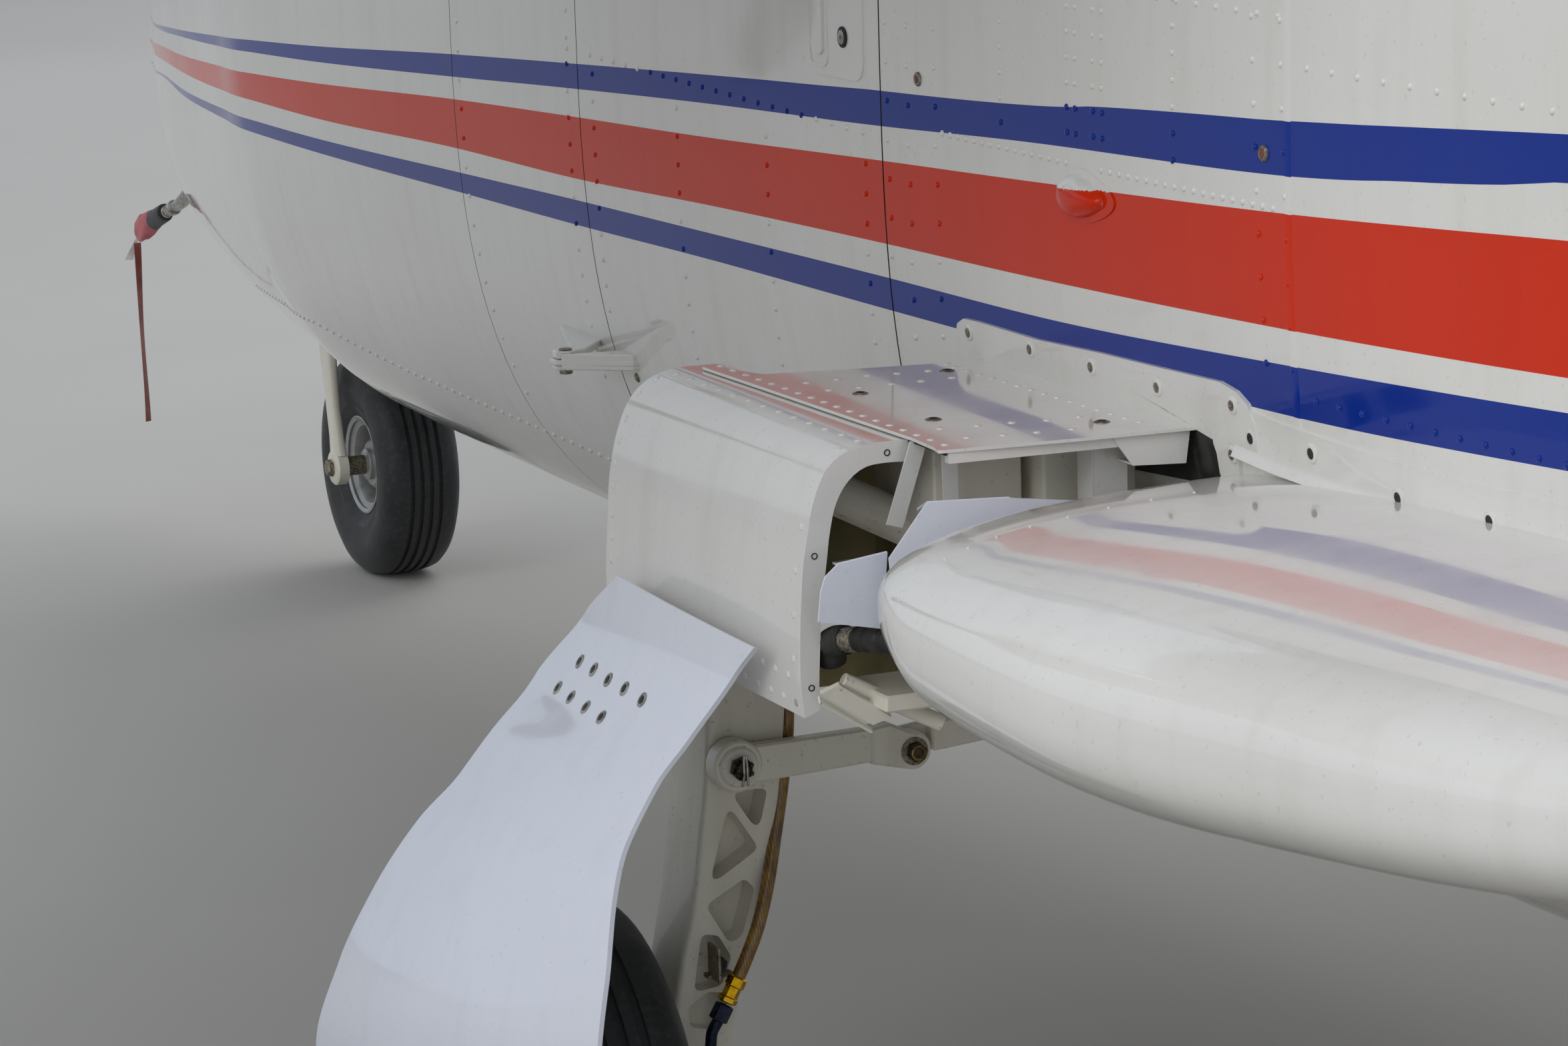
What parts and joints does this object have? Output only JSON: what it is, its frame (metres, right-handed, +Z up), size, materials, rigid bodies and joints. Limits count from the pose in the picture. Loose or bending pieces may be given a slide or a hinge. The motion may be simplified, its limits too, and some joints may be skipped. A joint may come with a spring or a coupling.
{
  "type": "light aircraft",
  "caption": "High-wing light aircraft with a propeller on each wing, lowered retractable gear, hinged doors and moving flight controls.",
  "frame": {"origin": "on the ground below the middle of the whole aircraft", "axes": "+X to port, +Y aft, +Z up"},
  "size_m": [11.4, 8.7, 2.85],
  "materials": {
    "white_enamel": "gloss enamel, warm white",
    "gear_enamel": "semi-gloss enamel, cream",
    "cover_enamel": "gloss enamel, cool white",
    "acrylic_glazing": "clear acrylic sheet",
    "tyre_rubber": "black ribbed rubber",
    "cast_wheel": "cast and painted silver grey",
    "propeller_enamel": "satin dark grey blades, white spinner",
    "engine_metal": "rough cast block",
    "exhaust_steel": "heat-stained steel",
    "frame_enamel": "satin dark grey enamel",
    "seat_fabric": "woven upholstery",
    "panel_coating": "matt crackle black",
    "pitot_metal": "bare metal tube",
    "cover_cloth": "coated red cloth",
    "ribbon_cloth": "woven red-brown ribbon"
  },
  "bodies": {
    "airframe": {"nose_section": "white_enamel", "cabin_shell": "white_enamel", "tail_cone": "white_enamel", "fin": "white_enamel", "wing_centre": "white_enamel", "roof_aerial": "white_enamel", "wing_left": "white_enamel", "wing_right": "white_enamel", "nacelle_left": "white_enamel", "nacelle_right": "white_enamel", "gear_fairing_left": "white_enamel", "gear_fairing_right": "white_enamel", "wheel_housing_left": "white_enamel", "wheel_housing_right": "white_enamel", "main_leg_left": "gear_enamel", "main_leg_right": "gear_enamel", "side_brace_left": "gear_enamel", "side_brace_right": "gear_enamel", "nose_strut": "gear_enamel", "leg_cover_left": "cover_enamel", "leg_cover_right": "cover_enamel", "windscreen": "acrylic_glazing", "window_quarter_left": "acrylic_glazing", "window_quarter_right": "acrylic_glazing", "window_front_right": "acrylic_glazing", "window_rear_left": "acrylic_glazing", "engine_left": "engine_metal", "engine_right": "engine_metal", "exhaust_left": "exhaust_steel", "exhaust_right": "exhaust_steel", "seat_frames": "frame_enamel", "seat_front_left": "seat_fabric", "seat_front_right": "seat_fabric", "seat_rear": "seat_fabric", "instrument_panel": "panel_coating", "pitot_head": "pitot_metal", "pitot_cover": "cover_cloth", "pitot_ribbon": "ribbon_cloth"},
    "nose_fork": {"nose_fork": "gear_enamel"},
    "nose_wheel": {"nose_tyre": "tyre_rubber", "nose_rim": "cast_wheel"},
    "main_wheel_left": {"main_tyre_left": "tyre_rubber", "main_rim_left": "cast_wheel"},
    "main_wheel_right": {"main_tyre_right": "tyre_rubber", "main_rim_right": "cast_wheel"},
    "propeller_left": {"propeller_left": "propeller_enamel"},
    "propeller_right": {"propeller_right": "propeller_enamel"},
    "door_front_left": {"door_front_left": "white_enamel", "door_front_left_window": "acrylic_glazing"},
    "door_rear_right": {"door_rear_right": "white_enamel", "door_rear_right_window": "acrylic_glazing"},
    "aileron_left": {"aileron_left": "white_enamel"},
    "aileron_right": {"aileron_right": "white_enamel"},
    "flap_left": {"flap_left": "white_enamel"},
    "flap_right": {"flap_right": "white_enamel"},
    "rudder": {"rudder": "white_enamel"},
    "stabilator": {"stabilator": "white_enamel"}
  },
  "joints": [
    {"name": "nose_steering", "type": "hinge", "parent": "airframe", "child": "nose_fork", "pos_m": [0, -3.48, 0.4], "axis": [0, 0, 1], "range_deg": [-20, 20]},
    {"name": "nose_wheel_spin", "type": "hinge", "parent": "nose_fork", "child": "nose_wheel", "pos_m": [0, -3.447, 0.17], "axis": [1, 0, 0], "continuous": true},
    {"name": "main_wheel_spin_left", "type": "hinge", "parent": "airframe", "child": "main_wheel_left", "pos_m": [1, -0.18, 0.205], "axis": [1, 0, 0], "continuous": true},
    {"name": "propeller_spin_left", "type": "hinge", "parent": "airframe", "child": "propeller_left", "pos_m": [1.62, -1.95, 1.65], "axis": [0, 1, 0], "continuous": true},
    {"name": "main_wheel_spin_right", "type": "hinge", "parent": "airframe", "child": "main_wheel_right", "pos_m": [-1, -0.18, 0.205], "axis": [1, 0, 0], "continuous": true},
    {"name": "propeller_spin_right", "type": "hinge", "parent": "airframe", "child": "propeller_right", "pos_m": [-1.62, -1.95, 1.65], "axis": [0, 1, 0], "continuous": true},
    {"name": "door_front_left_hinge", "type": "hinge", "parent": "airframe", "child": "door_front_left", "pos_m": [0.618, -1.06, 1], "axis": [0, 0, -1], "range_deg": [0, 75]},
    {"name": "door_rear_right_hinge", "type": "hinge", "parent": "airframe", "child": "door_rear_right", "pos_m": [-0.618, -0.19, 1.1], "axis": [0, 0, 1], "range_deg": [0, 80]},
    {"name": "aileron_left_hinge", "type": "hinge", "parent": "airframe", "child": "aileron_left", "pos_m": [3.315, 0.2605, 1.9029], "axis": [0.9951, -0.0981, 0.0121], "range_deg": [-20, 20]},
    {"name": "aileron_right_hinge", "type": "hinge", "parent": "airframe", "child": "aileron_right", "pos_m": [-3.315, 0.2605, 1.9029], "axis": [0.9951, 0.0981, -0.0121], "range_deg": [-20, 20]},
    {"name": "flap_left_hinge", "type": "hinge", "parent": "airframe", "child": "flap_left", "pos_m": [0.7, 0.206, 1.8328], "axis": [1, 0, 0.0054], "range_deg": [-38, 0]},
    {"name": "flap_right_hinge", "type": "hinge", "parent": "airframe", "child": "flap_right", "pos_m": [-0.7, 0.206, 1.8328], "axis": [1, 0, -0.0054], "range_deg": [-38, 0]},
    {"name": "rudder_hinge", "type": "hinge", "parent": "airframe", "child": "rudder", "pos_m": [0, 3.8202, 1.4], "axis": [0, 0.2101, 0.9777], "range_deg": [-25, 25]},
    {"name": "stabilator_hinge", "type": "hinge", "parent": "airframe", "child": "stabilator", "pos_m": [0, 3.6884, 1.105], "axis": [1, 0, 0], "range_deg": [-4, 15]}
  ],
  "couplings": [
    {"joint": "aileron_right_hinge", "follows": "aileron_left_hinge", "ratio": -1},
    {"joint": "flap_right_hinge", "follows": "flap_left_hinge", "ratio": 1},
    {"joint": "rudder_hinge", "follows": "nose_steering", "ratio": -1.25}
  ]
}
